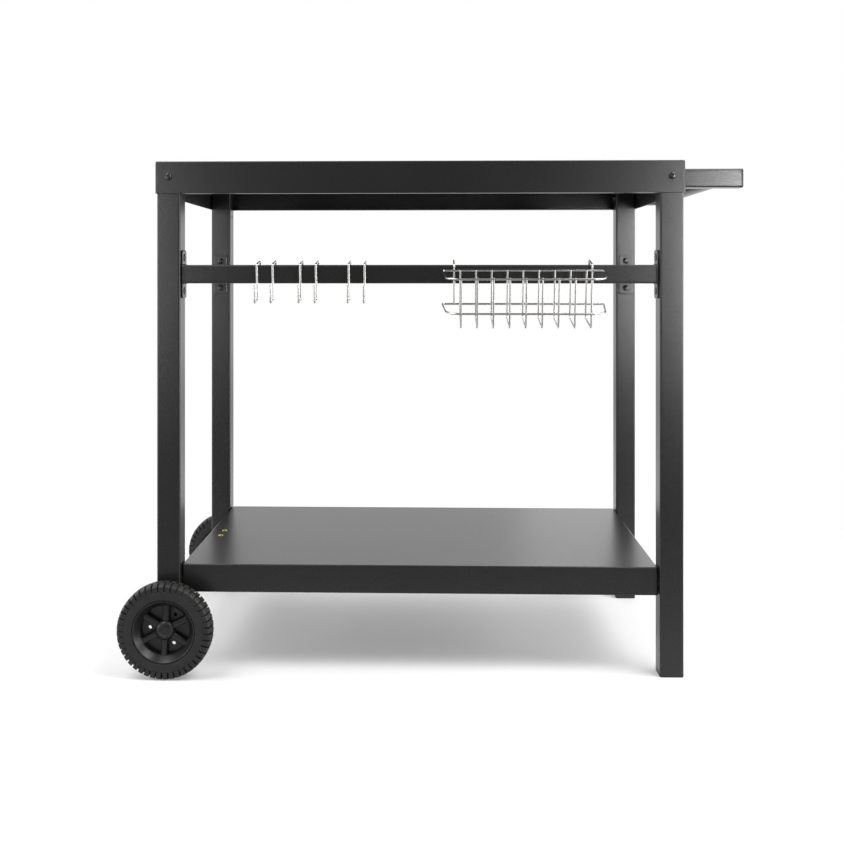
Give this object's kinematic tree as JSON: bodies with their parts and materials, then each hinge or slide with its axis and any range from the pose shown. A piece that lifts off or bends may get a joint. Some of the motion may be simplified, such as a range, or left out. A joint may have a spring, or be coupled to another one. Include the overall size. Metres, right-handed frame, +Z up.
{
  "type": "plancha table",
  "caption": "Wheeled outdoor table for a plancha: folded steel worktop on tube legs, lower shelf, push handle, hook rail with sliding utensil hooks and a hanging wire basket.",
  "frame": {"origin": "middle of the whole table's footprint box, on the floor", "axes": "+X along the worktop towards the push handle, +Y from the hook rail at the front to the back, +Z up"},
  "size_m": [0.9976, 0.5903, 0.825],
  "materials": {
    "powder_coat": "semi-matte black powder coat with a fine grain",
    "chrome_wire": "bright plated wire",
    "dark_screws": "dark plated screws",
    "zinc_nuts": "zinc plated",
    "brass_inserts": "yellow passivated",
    "axle_steel": "bright drawn steel",
    "tyre_rubber": "matt moulded tread",
    "wheel_plastic": "satin black moulding",
    "plug_plastic": "matt black"
  },
  "bodies": {
    "frame": {"worktop": "powder_coat", "leg_front_left": "powder_coat", "leg_back_left": "powder_coat", "leg_front_right": "powder_coat", "leg_back_right": "powder_coat", "front_rail": "powder_coat", "front_rail_plates": "powder_coat", "left_rail": "powder_coat", "left_rail_plates": "powder_coat", "right_rail": "powder_coat", "right_rail_plates": "powder_coat", "lower_shelf": "powder_coat", "handle_arm_front": "powder_coat", "handle_arm_back": "powder_coat", "handle_bar": "powder_coat", "worktop_screws": "dark_screws", "front_rail_screws": "dark_screws", "rail_screws": "dark_screws", "shelf_screws": "dark_screws", "handle_bolts": "dark_screws", "worktop_rivet_nuts": "zinc_nuts", "rail_rivet_nuts": "zinc_nuts", "shelf_rivet_nuts": "zinc_nuts", "handle_blocks": "zinc_nuts", "axle_nuts": "zinc_nuts", "shelf_inserts": "brass_inserts", "axle": "axle_steel", "axle_spacers": "axle_steel", "foot_front_right": "plug_plastic", "foot_back_right": "plug_plastic", "leg_plug_front_left": "plug_plastic", "leg_plug_back_left": "plug_plastic", "handle_cap_front": "plug_plastic", "handle_cap_back": "plug_plastic"},
    "front_wheel": {"front_rim": "wheel_plastic", "front_tyre": "tyre_rubber", "front_hub_cap": "wheel_plastic"},
    "back_wheel": {"back_rim": "wheel_plastic", "back_tyre": "tyre_rubber", "back_hub_cap": "wheel_plastic"},
    "hook_1": {"double_hook_1": "chrome_wire"},
    "hook_2": {"double_hook_2": "chrome_wire"},
    "hook_3": {"double_hook_3": "chrome_wire"},
    "basket": {"basket_upper_hoop": "chrome_wire", "basket_lower_hoop": "chrome_wire", "basket_ribs": "chrome_wire", "basket_hangers": "chrome_wire"}
  },
  "joints": [
    {"name": "front_wheel_spin", "type": "hinge", "parent": "frame", "child": "front_wheel", "pos_m": [-0.42285, -0.23822, 0.076], "axis": [0, 1, 0], "continuous": true},
    {"name": "back_wheel_spin", "type": "hinge", "parent": "frame", "child": "back_wheel", "pos_m": [-0.42285, 0.27818, 0.076], "axis": [0, 1, 0], "continuous": true},
    {"name": "hook_1_slide", "type": "slide", "parent": "frame", "child": "hook_1", "axis": [1, 0, 0], "range_m": [-0.112, 0.02]},
    {"name": "hook_2_slide", "type": "slide", "parent": "frame", "child": "hook_2", "axis": [1, 0, 0], "range_m": [-0.02, 0.024]},
    {"name": "hook_3_slide", "type": "slide", "parent": "frame", "child": "hook_3", "axis": [1, 0, 0], "range_m": [-0.024, 0.058]},
    {"name": "basket_slide", "type": "slide", "parent": "frame", "child": "basket", "axis": [1, 0, 0], "range_m": [-0.058, 0.075]}
  ]
}
